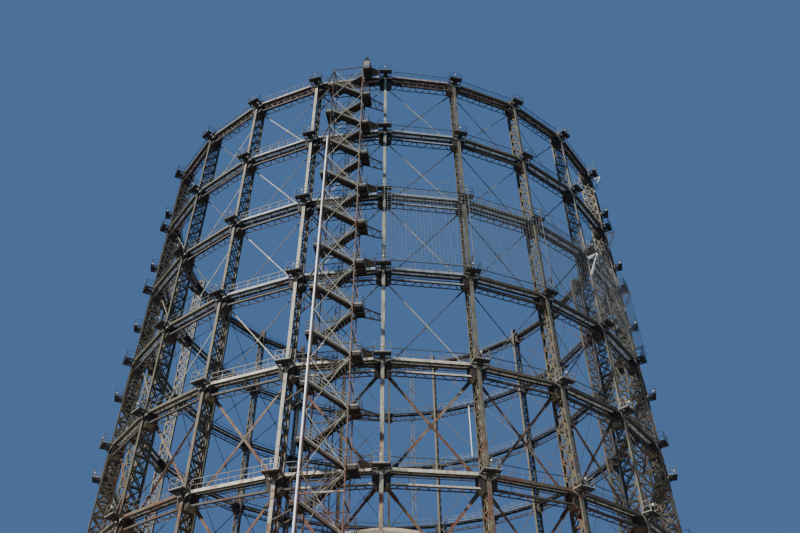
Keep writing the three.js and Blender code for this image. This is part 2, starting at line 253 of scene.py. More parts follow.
def roofing_sheet(name, paint, grime):
    """Factory-coated roofing sheet: an even matt tan with faint streaks below each lap."""
    material, tree, place = start_material(name)
    stretched = add_node(
        tree, "ShaderNodeMapping", {"Vector": place, "Scale": (1.0, 1.0, 0.3)}
    ).outputs["Vector"]
    streaks, soiled = add_stains(tree, stretched, 0.9 * M, 5.0, 0.65, 0.4, 0.7, 0.7)
    colour = add_node(
        tree, "ShaderNodeMix", {0: soiled, 6: to_linear(paint), 7: to_linear(grime)},
        data_type="RGBA",
    ).outputs[2]
    relief = add_node(
        tree, "ShaderNodeBump", {"Height": streaks, "Strength": 0.1, "Distance": 0.03 * M}
    ).outputs["Normal"]
    add_surface(tree, colour, 0.75, relief)
    return material


# Weathered tan oil paint, the colour of the sunlit column flanges.
TAN = painted_steel("tan_oil_paint", "#9b9985", "#6c695a", "#80503a", 0.75, 0.12)
# Dun paint on the flanges of the columns to the right and at the back; on those flanges it is
# painted shade, a darker copy of the tan for columns turned from the sun.
DUN = painted_steel("dun_oil_paint_and_painted_shade", "#6e6b5b", "#4c4a40", "#6e4630", 0.8, 0.12)
# Olive-brown paint on the columns' webs, the left-hand flanges and the kerbs off the middle bays;
# on all three it is painted shade, darker where the lattice shades itself or where parts turn from
# the sun.
OLIVE = painted_steel("olive_oil_paint_and_painted_shade", "#5d553f", "#423d30", "#6e4630", 0.7, 0.12)
# Lighter cream paint, kept brightest on walkway edges and the lower girders' outer plates.
CREAM = painted_steel("cream_oil_paint", "#bdb7a2", "#8e8774", "#8c6040", 0.4, 0.08)
# Pale blue-grey paint on the upper walkways' kerbs and foot chords.
MIST = painted_steel("mist_oil_paint", "#8e9699", "#6a7072", "#7a5a44", 0.4, 0.1)
# Blue-grey paint under the upper walkways, ash grey under the lower ones, a pinker grey under the
# top one. The blue-grey and the ash are paler than real paint: painted light thrown up from the
# ground.
SLATE = painted_steel("slate_oil_paint_and_painted_bounce_light", "#aebfd0", "#8493a2", "#6e4a34", 0.5, 0.15)
ASH = painted_steel("ash_oil_paint_and_painted_bounce_light", "#c4c4b9", "#9b9a92", "#7a5a44", 0.4, 0.1)
ROSE = painted_steel("rose_grey_oil_paint", "#94857e", "#6b5f58", "#7d5640", 0.5, 0.3)
# Old dark paint on lattice and bars; on the faces that the sun doesn't reach, such as the columns'
# insides and the braces' backs, it is painted shade.
UMBER = painted_steel("umber_oil_paint_and_painted_shade", "#4b4238", "#2f2a24", "#5c3a27", 0.55, 0.2, 0.7)
# Near-black grime on the joint boxes; on soffits, the undersides of stairs and platforms, and the
# chords and ledges under the walkways the same near-black is painted shade.
SOOT_AND_SHADE = painted_steel("sooted_paint_and_painted_shade", "#2a251f", "#1a1714", "#3d291d", 0.45, 0.25, 0.8)
# Bare steel rusted all over, as on the lower braces and the stair posts.
RUST = painted_steel("rusted_steel", "#7d6a56", "#584838", "#76492f", 0.85, 0.4, 0.85)
# Galvanised rail tube, dulled to a brownish grey.
RAIL = painted_steel("galvanised_rail", "#7c776a", "#5d584d", "#6e4c37", 0.3, 0.05, 0.5)
# The same tube under old dark paint, on the top walkway and the upper platforms.
DARK_RAIL = painted_steel("dark_painted_rail", "#434a50", "#2d3236", "#54392b", 0.3, 0.1, 0.55)
# Fresh white gloss on the riser and the lamp housings.
WHITE = painted_steel("white_gloss_paint", "#f4f4f1", "#dddcd6", "#a08a70", 0.1, 0.0, 0.4)
# Bare drawn wire and cast lamp housings, dulled by weather.
CABLE = painted_steel("drawn_aluminium_wire", "#80837e", "#62645f", "#6b6054", 0.1, 0.0, 0.5)
# Bright galvanised angle of the net's brackets on the two columns at its end.
GALVANISED = painted_steel("galvanised_angle", "#b9bdbd", "#95989a", "#74695c", 0.05, 0.0, 0.5)
TANK_PLATE = riveted_plate("riveted_tank_plate", "#6d6152", "#564c40", "#2f2922")
ROOFING = roofing_sheet("coated_roofing_sheet", "#baa98a", "#9a8a6e")


# Mesh tools


def paint_faces(made, finish):
    """Gives a finish to the faces that an operator has just made."""
    for face in {face for vertex in made["verts"] for face in vertex.link_faces}:
        face.material_index = finish


def beam(bm, start, end, width, depth, facing=(1, 0, 0), finish=0):
    """A straight bar between two points: depth is measured towards facing, and width across it."""
    start, end = Vector(start), Vector(end)
    run = end - start
    along = run.normalized()
    inwards = Vector(facing)
    inwards = (inwards - along * inwards.dot(along)).normalized()
    across = inwards.cross(along)
    matrix = Matrix.Translation((start + end) / 2) @ Matrix((
        (run.x, across.x * width, inwards.x * depth, 0),
        (run.y, across.y * width, inwards.y * depth, 0),
        (run.z, across.z * width, inwards.z * depth, 0),
        (0, 0, 0, 1),
    ))
    paint_faces(bmesh.ops.create_cube(bm, size=1.0, matrix=matrix), finish)


def tube(bm, start, end, finish=0, size=0.05 * M):
    """A thin square bar, as for rails and rods."""
    run = Vector(end) - Vector(start)
    upright = abs(run.normalized().z) > 0.9
    beam(bm, start, end, size, size, (1, 0, 0) if upright else (0, 0, 1), finish)


def block(bm, corner, opposite, finish=0):
    """A box between two opposite corners."""
    low = Vector([min(pair) for pair in zip(corner, opposite)])
    high = Vector([max(pair) for pair in zip(corner, opposite)])
    middle = (low + high) / 2
    start = Vector((middle.x, middle.y, low.z))
    end = Vector((middle.x, middle.y, high.z))
    beam(bm, start, end, high.y - low.y, high.x - low.x, (1, 0, 0), finish)


def plate(bm, outline, thickness, finish=0):
    """A flat plate from its corner points, thickened to both sides. Returns its faces."""
    corners = [Vector(point) for point in outline]
    normal = (corners[1] - corners[0]).cross(corners[2] - corners[1]).normalized()
    vertices = [bm.verts.new(corner - normal * thickness / 2) for corner in corners]
    face = bm.faces.new(vertices)
    face.material_index = finish
    grown = bmesh.ops.extrude_face_region(bm, geom=[face], use_keep_orig=True)
    lifted = [item for item in grown["geom"] if isinstance(item, bmesh.types.BMVert)]
    bmesh.ops.translate(bm, verts=lifted, vec=normal * thickness)
    sides = {side for vertex in vertices + lifted for side in vertex.link_faces}
    bmesh.ops.recalc_face_normals(bm, faces=list(sides))
    return sides


def repeat_round(bm, copies=COLUMNS, angle=BAY_ANGLE):
    """Copies everything in the mesh round the axis, this angle apart."""
    bmesh.ops.spin(
        bm, geom=bm.verts[:] + bm.edges[:] + bm.faces[:], cent=(0, 0, 0), axis=(0, 0, 1),
        angle=angle * (copies - 1), steps=copies - 1, use_duplicate=True,
    )


def face_outwards(angle):
    """The turn that takes a piece drawn along +X to a bearing round the axis, 0 at -Y."""
    return Matrix.Rotation(angle - math.pi / 2, 4, "Z")


def turn_mesh(bm, matrix):
    bmesh.ops.transform(bm, matrix=matrix, verts=bm.verts[:])


def to_mesh(bm, name):
    mesh = bpy.data.meshes.new(name)
    bm.to_mesh(mesh)
    bm.free()
    return mesh


def finish_piece(name, bm, materials, replaced=()):
    """Makes the mesh an object at the origin that rides on the model and stands for its nodes."""
    mesh = to_mesh(bm, name)
    for material in materials:
        mesh.materials.append(material)
    piece = add_object(name, mesh)
    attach(piece, "root")
    if replaced:
        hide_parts(*replaced)


def from_pattern(pattern, turn):
    """A mesh from a pattern, turned or moved to its place."""
    bm = bmesh.new()
    bm.from_mesh(pattern)
    turn_mesh(bm, turn)
    return bm


def add_turned(bm, part, turn):
    """Turns a part's mesh and adds it to another one."""
    turn_mesh(part, turn)
    bm.from_mesh(to_mesh(part, "turned_part"))


# Columns: drawn with the radius along +X, and the frame's right-hand side along +Y

FLANGE_WIDTH = 0.31 * M
FLANGE_PLATE = 0.03 * M
WEB_OFFSET = 0.125 * M
ANGLE_LEG = 0.15 * M
ANGLE_PLATE = 0.025 * M
PANELS_PER_TIER = 6
LACE_WIDTH = 0.14 * M
LACE_PLATE = 0.022 * M
STRUT_WIDTH = 0.15 * M
OUTER_FACE = FRAME_RADIUS
INNER_FACE = FRAME_RADIUS - COLUMN_DEPTH
COLUMN_MIDDLE = (INNER_FACE + OUTER_FACE) / 2
JOINT_FOOT = 1.35 * M
COVER_HALF = FLANGE_WIDTH / 2 - 0.06 * M
COVER_LENGTH = 0.9 * M
COVER_PLATE = 0.02 * M
GABLE_PLATE = 0.03 * M
FOOT_PLATE = 0.12 * M
GUSSET_TOP = 0.7 * M
# Columns whose flanges keep the lit tan, and the first column on the left whose flange gets olive
# as painted shade; the rest get dun as painted shade.
LIT_FLANGE_COLUMNS = (24, 1)
FIRST_LEFT_SHADE_COLUMN = 18
# The numbers of a column's finishes in its list of materials. Inside and web are painted shade:
# umber on the faces turned inwards, olive on the webs and the inner flange.
FLANGE, INSIDE, WEB = range(3)


def lace_panel(bm, bottom, top):
    """One crossed panel of both side webs, with a strut at its foot."""
    near = INNER_FACE + 0.1 * M
    far = OUTER_FACE - 0.1 * M
    facing = (0, 1, 0)
    for side in (-1, 1):
        y = side * WEB_OFFSET
        outside = y + side * LACE_PLATE
        inside = y - side * LACE_PLATE
        beam(bm, (near, outside, bottom), (far, outside, top), LACE_WIDTH, LACE_PLATE, facing, WEB)
        beam(bm, (near, inside, top), (far, inside, bottom), LACE_WIDTH, LACE_PLATE, facing, WEB)
        beam(bm, (near, y, bottom), (far, y, bottom), STRUT_WIDTH, LACE_PLATE, facing, WEB)


def column_joint(bm, deck):
    """The stretch of a column at a deck: cover plates on the flanges, and a diaphragm."""
    for face in (OUTER_FACE, INNER_FACE):
        for height in (deck + 0.3 * M, deck - TIER / 2):
            low = (face - COVER_PLATE, -COVER_HALF, height)
            block(bm, low, (face + COVER_PLATE, COVER_HALF, height + COVER_LENGTH), FLANGE)
    under = deck - JOINT_FOOT - 0.1 * M
    low = (INNER_FACE + FLANGE_PLATE, -WEB_OFFSET, under)
    block(bm, low, (OUTER_FACE - FLANGE_PLATE, WEB_OFFSET, under + 0.03 * M), INSIDE)


def shade_inside(bm):
    """Painted shade: dark umber on the faces turned to the column's inside, and olive on the inner
    flange.
    """
    bm.normal_update()
    for face in bm.faces:
        place = face.calc_center_median()
        normal = face.normal
        if abs(normal.y) > 0.5 and normal.y * place.y < 0:
            face.material_index = INSIDE
        elif normal.x < -0.5 and place.x > COLUMN_MIDDLE:
            face.material_index = INSIDE
        elif abs(normal.x) > 0.5 and place.x < COLUMN_MIDDLE:
            face.material_index = WEB


def column_pattern():
    bm = bmesh.new()
    top = deck_height(1) + EAVES_ABOVE_DECK
    half = FLANGE_WIDTH / 2
    for face, inwards in ((OUTER_FACE, -1), (INNER_FACE, 1)):
        behind = face + inwards * FLANGE_PLATE
        block(bm, (face, -half, 0), (behind, half, top), FLANGE)
        for side in (-1, 1):
            toe = (face + inwards * ANGLE_LEG, side * (WEB_OFFSET + ANGLE_PLATE), top)
            block(bm, (behind, side * WEB_OFFSET, 0), toe, WEB)
    bottom = 0.3 * M
    for ring in range(RINGS, 0, -1):
        deck = deck_height(ring)
        panel_top = deck - JOINT_FOOT + 0.1 * M
        panels = max(1, round((panel_top - bottom) / (TIER / (PANELS_PER_TIER + 0.7))))
        step = (panel_top - bottom) / panels
        for panel in range(panels):
            lace_panel(bm, bottom + panel * step, bottom + (panel + 1) * step)
        column_joint(bm, deck)
        bottom = deck + 0.05 * M
    lace_panel(bm, bottom, top - 0.05 * M)
    for side in (-1, 1):
        y = side * (half - GABLE_PLATE / 2)
        gable = [(INNER_FACE, y, top), (OUTER_FACE, y, top), (COLUMN_MIDDLE, y, GABLE_PEAK)]
        plate(bm, gable, GABLE_PLATE, INSIDE)
    for end in (INNER_FACE, OUTER_FACE):
        peak = (COLUMN_MIDDLE, 0, GABLE_PEAK - 0.02 * M)
        beam(bm, (end, 0, top), peak, FLANGE_WIDTH, GABLE_PLATE, (0, 0, 1), INSIDE)
    block(bm, (INNER_FACE, -0.4 * M, 0), (OUTER_FACE, 0.4 * M, FOOT_PLATE), INSIDE)
    for y in (-0.3 * M, 0.3 * M):
        gusset = [(INNER_FACE, y, FOOT_PLATE), (OUTER_FACE, y, FOOT_PLATE),
                  (OUTER_FACE, y, GUSSET_TOP), (INNER_FACE, y, GUSSET_TOP)]
        plate(bm, gusset, GABLE_PLATE, INSIDE)
    shade_inside(bm)
    return to_mesh(bm, "column_pattern")


def add_columns():
    """The flanges are tan on the two columns beside the stair tower, olive on the columns to its
    left and dun on the others: the olive and dun are darker copies of the tan, painted shade for
    columns turned from the sun."""
    pattern = column_pattern()
    for number in range(1, COLUMNS + 1):
        bm = from_pattern(pattern, face_outwards((number - 1) * BAY_ANGLE))
        if number in LIT_FLANGE_COLUMNS:
            flange = TAN
        else:
            flange = OLIVE if number >= FIRST_LEFT_SHADE_COLUMN else DUN
        finish_piece(
            f"column_{number:02d}_lattice", bm, [flange, UMBER, OLIVE],
            [f"column_{number:02d}"],
        )


# Ring girders: one bay is drawn with its side's normal along +X, then copied round the axis

KERB_FACE = FRAME_RADIUS + 0.07 * M
KERB_HEIGHT = 0.06 * M
KERB_FOOT = 0.2 * M
KERB_PLATE = 0.03 * M
GIRDER_OUTER = FRAME_RADIUS - 0.23 * M
WALKWAY_INNER = FRAME_RADIUS - 0.7 * M
GIRDER_INNER = FRAME_RADIUS - 0.95 * M
RUNNER_RADIUS = FRAME_RADIUS - 1.06 * M
WALKWAY_PLATES = 4
INNER_CHORD = 0.2 * M
RUNNER_FOOT = 0.18 * M
GIRDER_FOOT = 1.15 * M
LACING_PEAKS = 4
LACING_RUN = 0.52 * M
LACING_WIDTH = 0.09 * M
LACING_PLATE = 0.04 * M
PEAK_FLAT = 0.15 * M
BOX_HALF = 0.71 * M
BOX_FOOT = 1.42 * M
BOX_CHAMFER = 0.38 * M
BOX_INNER = FRAME_RADIUS - 1.12 * M
BOX_OUTER = FRAME_RADIUS - 0.18 * M
RAIL_HEIGHT = 0.95 * M
WALKWAY_RAILS = (RAIL_HEIGHT, RAIL_HEIGHT / 2)
WALKWAY_RAIL_SIZE = 0.025 * M
TOP_RAIL_SIZE = 0.06 * M
RAIL_SPANS = 6
FIRST_CREAM_RING = 5
# The numbers of a girder's finishes in its list of materials, and those of a walkway's rails.
SOFFIT, SHADE, EDGE, BARS, FOOT_FACE, SLOPES, SHADED_KERB = range(7)
THIN_RAILS, TOP_RAIL = range(2)


def bay_side(radius):
    """The distance to a bay's side, and half its length, where its corners have that radius."""
    return radius * math.cos(HALF_BAY), radius * math.sin(HALF_BAY)


def girder_floor(bm, deck):
    """The walkway: plates that show from below between cover straps, and a pale kerb on a ledge."""
    near, half = bay_side(WALKWAY_INNER)
    far, wide = bay_side(GIRDER_OUTER)
    corners = [(near, -half), (far, -wide), (far, wide), (near, half)]
    for drop, finish in ((0.01 * M, BARS), (0.03 * M, SOFFIT)):
        plate(bm, [(x, y, deck - drop) for x, y in corners], 0.02 * M, finish)
    for index in range(WALKWAY_PLATES + 1):
        y = (2 * index / WALKWAY_PLATES - 1) * (half - 0.3 * M)
        block(bm, (near, y - 0.03 * M, deck - 0.07 * M), (far, y + 0.03 * M, deck - 0.04 * M), BARS)
    edge = bay_side(KERB_FACE)[0]
    clear = half - BOX_HALF
    back = edge - KERB_PLATE
    foot = deck - KERB_FOOT
    block(bm, (back, -clear, foot), (edge, clear, deck + KERB_HEIGHT), EDGE)
    block(bm, (far - 0.02 * M, -clear, foot), (back, clear, foot + KERB_PLATE), SHADE)
    block(bm, (far - KERB_PLATE, -clear, foot), (far, clear, deck), SHADE)


def girder_chords(bm, deck):
    """The walkway's inner chord, dark as painted shade with a pale face to the axis as painted
    sunlight, a thin runner behind it, and the chords along both feet.
    """
    x, half = bay_side(WALKWAY_INNER)
    inner = x - INNER_CHORD
    block(bm, (inner, -half, deck - 0.12 * M), (x, half, deck - 0.02 * M), SHADE)
    # A thin plate in the kerb's paint on the chord's face to the axis: painted sunlight, seen
    # across the ring.
    block(bm, (inner - 0.01 * M, -half, deck - 0.12 * M), (inner, half, deck), EDGE)
    x, half = bay_side(RUNNER_RADIUS)
    runner = deck - RUNNER_FOOT
    block(bm, (x - 0.06 * M, -half, runner), (x, half, runner + 0.06 * M), SHADE)
    foot = deck - GIRDER_FOOT
    x, half = bay_side(GIRDER_INNER)
    block(bm, (x - 0.05 * M, -half, foot - 0.03 * M), (x, half, foot + 0.05 * M), SHADE)
    x, half = bay_side(GIRDER_OUTER)
    block(bm, (x - 0.03 * M, -half, foot), (x, half, foot + 0.14 * M), FOOT_FACE)
    block(bm, (x - 0.19 * M, -half, foot - 0.03 * M), (x, half, foot), SHADE)
    for index in range(1, WALKWAY_PLATES):
        y = (2 * index / WALKWAY_PLATES - 1) * half
        tube(bm, (x - 0.05 * M, y, foot), (x - 0.05 * M, y, deck - 0.05 * M), BARS, 0.04 * M)


def trapezoid_lacing(bm, peak, base, facing):
    """Bent bars between two chords, each given by its distance from the axis and its height."""
    clear = bay_side(GIRDER_INNER)[1] - BOX_HALF
    pitch = 2 * clear / LACING_PEAKS
    for index in range(LACING_PEAKS):
        middle = pitch * (index + 0.5) - clear
        for side in (-1, 1):
            flat_end = middle + side * PEAK_FLAT / 2
            stops = (
                (middle, peak), (flat_end, peak), (flat_end + side * LACING_RUN, base),
                (middle + side * pitch / 2, base),
            )
            points = [(chord[0], along, chord[1]) for along, chord in stops]
            for start, end in zip(points, points[1:]):
                beam(bm, start, end, LACING_WIDTH, LACING_PLATE, facing, BARS)


def joint_box(bm, deck):
    """The gusset box round a column, with sloping lower corners."""
    middle = (BOX_INNER + BOX_OUTER) / 2
    low = deck - BOX_FOOT
    chamfer = BOX_CHAMFER
    outline = [
        (middle, -BOX_HALF, deck - 0.02 * M), (middle, -BOX_HALF, low + chamfer),
        (middle, -BOX_HALF + chamfer, low), (middle, BOX_HALF - chamfer, low),
        (middle, BOX_HALF, low + chamfer), (middle, BOX_HALF, deck - 0.02 * M),
    ]
    for face in plate(bm, outline, BOX_OUTER - BOX_INNER, SHADE):
        if -0.9 < face.normal.z < -0.3:
            face.material_index = SLOPES


def repaint_side_bays(bm):
    """The walkway's underside behind the stair tower is as pale as the kerb, as painted sunlight.
    To the left of the tower and to the right of the first bay the foot chords are dark: dark paint
    to the left, painted shade to the right. The kerbs are dull, as painted shade, from the second
    bay on to either side of the tower's own."""
    for face in bm.faces:
        middle = face.calc_center_median()
        bearing = math.atan2(middle.x, -middle.y)
        aside = abs(bearing) > BAY_ANGLE
        if face.material_index == SOFFIT and -BAY_ANGLE < bearing < 0:
            face.material_index = EDGE
        elif face.material_index == FOOT_FACE and aside:
            face.material_index = BARS
        elif face.material_index == EDGE and aside and not -2 * BAY_ANGLE < bearing < 0:
            face.material_index = SHADED_KERB


def add_ring_girders():
    for ring in range(1, RINGS + 1):
        deck = deck_height(ring)
        bm = bmesh.new()
        girder_floor(bm, deck)
        girder_chords(bm, deck)
        far = bay_side(GIRDER_OUTER)[0] - 0.03 * M
        near = bay_side(GIRDER_INNER)[0] - 0.03 * M
        foot = deck - GIRDER_FOOT - 0.01 * M
        trapezoid_lacing(bm, (far, foot), (near, foot), (0, 0, 1))
        if ring == 1:
            trapezoid_lacing(bm, (far, deck - 0.1 * M), (far, foot + 0.15 * M), (1, 0, 0))
        turn_mesh(bm, Matrix.Rotation(-HALF_BAY, 4, "Z"))
        joint_box(bm, deck)
        turn_mesh(bm, face_outwards(0))
        repeat_round(bm)
        repaint_side_bays(bm)
        # The blue-grey and ash soffits are painted light from below the walkways.
        if ring >= FIRST_CREAM_RING:
            soffit, edge, foot_face, slopes = ASH, CREAM, CREAM, OLIVE
        elif ring > 1:
            soffit, edge, foot_face, slopes = SLATE, MIST, MIST, SOOT_AND_SHADE
        else:
            soffit, edge, foot_face, slopes = ROSE, ROSE, UMBER, SOOT_AND_SHADE
        finish_piece(
            f"ring_{ring}_girder", bm, [soffit, SOOT_AND_SHADE, edge, UMBER, foot_face, slopes, OLIVE],
            [f"ring_girder_{ring}"],
        )


def rail_run(bm, start, end, spans, heights, finish=0, size=0.05 * M):
    """Rails on posts between two points on a floor, or along a flight."""
    start, end = Vector(start), Vector(end)
    for height in heights:
        lift = Vector((0, 0, height))
        tube(bm, start + lift, end + lift, finish, size)
    lift = Vector((0, 0, heights[0]))
    for index in range(spans + 1):
        foot = start.lerp(end, index / spans)
        tube(bm, foot, foot + lift, finish, size)


def add_handrails():
    """Thin rails along both edges of each walkway, with a thicker dark one on top outside."""
    inner_edge = (WALKWAY_INNER - 0.15 * M, 0.2 * M)
    outer_edge = (KERB_FACE - 0.02 * M, BOX_HALF)
    for ring in range(1, RINGS + 1):
        deck = deck_height(ring)
        bm = bmesh.new()
        for radius, clear in (inner_edge, outer_edge):
            x, half = bay_side(radius)
            start, end = (x, clear - half, deck), (x, half - clear, deck)
            rail_run(bm, start, end, RAIL_SPANS, WALKWAY_RAILS, THIN_RAILS, WALKWAY_RAIL_SIZE)
        lift = Vector((0, 0, RAIL_HEIGHT))
        tube(bm, Vector(start) + lift, Vector(end) + lift, TOP_RAIL, TOP_RAIL_SIZE)
        turn_mesh(bm, face_outwards(HALF_BAY))
        repeat_round(bm)
        paint = RAIL if ring > 1 else DARK_RAIL
        finish_piece(f"ring_{ring}_handrails", bm, [paint, DARK_RAIL])


# Platforms round the columns

PLATFORM_HALF = 0.72 * M
PLATFORM_RAIL = 0.93 * M
PLATFORM_RAILS = (PLATFORM_RAIL, PLATFORM_RAIL / 2)
PLATFORM_RAIL_SIZE = 0.035 * M
PLATFORM_EDGE = 0.1 * M
PLATFORM_SHELF = 0.48 * M
PLATFORM_BEAM = 0.14 * M
LIP_PLATE = 0.04 * M
# The numbers of a platform's finishes in its list of materials. Under floor is near-black painted
# shade on the underside, beams, edge plates and struts.
WEDGE, PLATFORM_TUBE, UNDER_FLOOR, LAMP, LIP = range(5)


def platform_pattern():
    """A railed platform outside the outer flange, its floor's underside just below height 0."""
    bm = bmesh.new()
    near = OUTER_FACE
    far = OUTER_FACE + PLATFORM_REACH - 0.01 * M
    shelf = far - PLATFORM_SHELF
    half = PLATFORM_HALF
    thin = LIP_PLATE
    under = -0.02 * M
    block(bm, (far - thin, -half, -PLATFORM_EDGE), (far, half, 0), UNDER_FLOOR)
    block(bm, (far - thin, -half, 0), (far, half, thin), LIP)
    block(bm, (shelf, -half, -0.05 * M), (far - thin, half, under), UNDER_FLOOR)
    block(bm, (near, -0.24 * M, -PLATFORM_BEAM), (shelf, 0.24 * M, under), UNDER_FLOOR)
    for x in (near + 0.02 * M, shelf):
        block(bm, (x, -half, -PLATFORM_BEAM), (x + 0.06 * M, half, under), UNDER_FLOOR)
    for side in (-1, 1):
        edge = side * half
        block(bm, (near, edge, -PLATFORM_EDGE), (far, edge - side * thin, 0), UNDER_FLOOR)
        block(bm, (near, edge, 0), (far, edge - side * thin, thin), LIP)
        back = near - 0.02 * M
        root = side * 0.21 * M
        bracket = [(back, root, -0.05 * M), (back, edge, -0.05 * M), (back, edge, -0.16 * M),
                   (back, root, -0.5 * M)]
        plate(bm, bracket, 0.03 * M, WEDGE)
        y = side * 0.2 * M
        tube(bm, (near, y, -0.45 * M), (far - 0.1 * M, y, -PLATFORM_EDGE), UNDER_FLOOR, 0.07 * M)
        y = edge - side * thin / 2
        start, end = (near + 0.04 * M, y, 0), (far - thin, y, 0)
        rail_run(bm, start, end, 1, PLATFORM_RAILS, PLATFORM_TUBE, PLATFORM_RAIL_SIZE)
        for y in (side * 0.36 * M, side * 0.52 * M):
            tube(bm, (near, y, -0.04 * M), (shelf, y, -0.04 * M), UNDER_FLOOR, 0.03 * M)
    rail = far - thin / 2
    start, end = (rail, thin / 2 - half, 0), (rail, half - thin / 2, 0)
    rail_run(bm, start, end, 2, PLATFORM_RAILS, PLATFORM_TUBE, PLATFORM_RAIL_SIZE)
    lamp = Matrix.Translation((far - 0.12 * M, 0, PLATFORM_RAIL - 0.2 * M))
    made = bmesh.ops.create_uvsphere(bm, u_segments=8, v_segments=5, radius=0.1 * M, matrix=lamp)
    paint_faces(made, LAMP)
    return to_mesh(bm, "platform_pattern")


def add_platforms():
    pattern = platform_pattern()
    for ring in range(1, RINGS + 1):
        bm = from_pattern(pattern, Matrix.Translation((0, 0, deck_height(ring))) @ face_outwards(0))
        repeat_round(bm)
        lip = CREAM if ring >= FIRST_CREAM_RING else UMBER
        rails = RAIL if ring >= FIRST_CREAM_RING else DARK_RAIL
        finish_piece(
            f"ring_{ring}_platforms", bm, [CREAM, rails, SOOT_AND_SHADE, WHITE, lip]
        )


# Braces: in each bay two diagonals pass each other close to the columns' inner flanges

DARK_BRACE_RADIUS = INNER_FACE + 0.2 * M
PALE_BRACE_RADIUS = INNER_FACE + 0.28 * M
BRACE_END_DROP = 0.5 * M
BRACE_PLATE = 0.04 * M
LIGHT_BRACE = 0.09 * M
HEAVY_BRACE = 0.21 * M
FIRST_HEAVY_TIER = 5
# Where the joint plates lie along a brace, and half their lengths, as shares of its length.
JOINT_PLATES = ((0.1, 0.05), (0.5, 0.02), (0.9, 0.05))
# The numbers of a brace's finishes in its list of materials.
BAR, PLATES, SHADED_BAR_BACK = range(3)
HEAVY_FINISHES = [RUST, UMBER, UMBER]


def brace_bar(bm, radius, rising, tier, rib):
    """One diagonal across a bay, on the plane at this corner radius, with plates at its joints.
    A heavy one has a rib along its middle, outwards where rib is 1 and inwards where it is -1."""
    x, half = bay_side(radius)
    heavy = tier >= FIRST_HEAVY_TIER
    width = HEAVY_BRACE if heavy else LIGHT_BRACE
    top = deck_height(tier) - BRACE_END_DROP
    bottom = deck_height(tier + 1) - BRACE_END_DROP
    low_side = -rising * half
    start = Vector((x, low_side, bottom))
    end = Vector((x, -low_side, top))
    beam(bm, start, end, width, BRACE_PLATE, finish=BAR)
    if heavy:
        aside = Vector((rib * 0.07 * M, 0, 0))
        beam(bm, start + aside, end + aside, BRACE_PLATE, 0.12 * M, finish=BAR)
    for share, reach in JOINT_PLATES:
        middle = start.lerp(end, share)
        run = (end - start) * reach
        beam(bm, middle - run, middle + run, width * 1.5, 0.05 * M, finish=PLATES)
    # Painted shade: every face turned towards the axis gets the dark back finish.
    bm.normal_update()
    for face in bm.faces:
        if face.normal.x < -0.5:
            face.material_index = SHADED_BAR_BACK


def add_braces():
    """Neighbouring bays mirror each other. Of the light braces those that pass outside are tan, and
    all the heavy ones are rusted."""
    for tier in range(1, RINGS):
        for name, radius, rib, light_finishes in (
            ("dark", DARK_BRACE_RADIUS, -1, [UMBER, UMBER, UMBER]),
            ("pale", PALE_BRACE_RADIUS, 1, [TAN, TAN, UMBER]),
        ):
            bm = bmesh.new()
            for bay, rising in enumerate((-rib, rib)):
                side = bmesh.new()
                brace_bar(side, radius, rising, tier, rib)
                add_turned(bm, side, face_outwards(HALF_BAY + bay * BAY_ANGLE))
            repeat_round(bm, COLUMNS // 2, 2 * BAY_ANGLE)
            finishes = HEAVY_FINISHES if tier >= FIRST_HEAVY_TIER else light_finishes
            replaced = [f"brace_tier_{tier}"] if name == "dark" else ()
            finish_piece(f"tier_{tier}_{name}_braces", bm, finishes, replaced)


# Stair tower: drawn in its bay with the radius along +X, then turned to the bay left of column 1

TOWER_PLANE = FRAME_RADIUS * math.cos(HALF_BAY)
TOWER_TURN = face_outwards(-HALF_BAY)
STAIR_TOP = 75.55 * M
LEVEL_DROP = 2.475 * M
LEVELS = 30
LENGTH_ENDS = ((0, 7), (8, 15), (16, 23), (24, 30))
FLIGHT_LEFT = -1.46 * M
FLIGHT_RIGHT = 1.7 * M
LANDING_LEFT = -2.2 * M
LANDING_RIGHT = 2.59 * M
INNER_LANE = (0.15 * M, 1.0 * M)
OUTER_LANE = (1.15 * M, 2.0 * M)
TREADS = 12
TREAD_PLATE = 0.04 * M
NOSE_DEPTH = 0.03 * M
STRINGER = 0.2 * M
STRINGER_PLATE = 0.03 * M
LANDING_KERB = 0.1 * M
LANDING_SKIRT = 0.3 * M
LANDING_PLATE = 0.03 * M
LAST_FOOT = 0.22 * M
FLIGHT_RAILS = (1.0 * M, 0.68 * M, 0.36 * M)
LANDING_RAILS = (1.1 * M, 0.73 * M, 0.37 * M)
STAIR_RAIL_SIZE = 0.03 * M
LEFT_POST = -1.533 * M
RIGHT_POST = 1.773 * M
FRONT_POST = 2.063 * M
BACK_POST = 0.087 * M
POST_SIZE = 0.09 * M
TIE_SIZE = 0.1 * M
TIE_LACING = 0.06 * M
LADDER_SIDES = (-0.12 * M, 0.25 * M)
LADDER_TOP = 72.4 * M
LADDER_RUNGS = 120
FIRST_RUNG = 0.5 * M
RUNG_STEP = 71.5 * M / LADDER_RUNGS
FRONT_BAR = 24.1 * M
COLUMN_ALONG = FRAME_RADIUS * math.sin(HALF_BAY)
# The numbers of the stair pieces' finishes in their lists of materials. Underside is near-black
# painted shade on the treads, stringers, landings, joists and skirts.
UNDERSIDE, STRIP, TREAD, STAIR_TUBE = range(4)
POSTS, BEAMS = range(2)
FRONT_RODS, BACK_RODS = range(2)
PANEL, HOOD_BAR, HEAD_TRIM = range(3)


def at(along, out, height):
    """A point in the stair tower's bay: to the right, outwards, and up."""
    return Vector((TOWER_PLANE + out, along, height))


def level_height(level):
    return STAIR_TOP - level * LEVEL_DROP


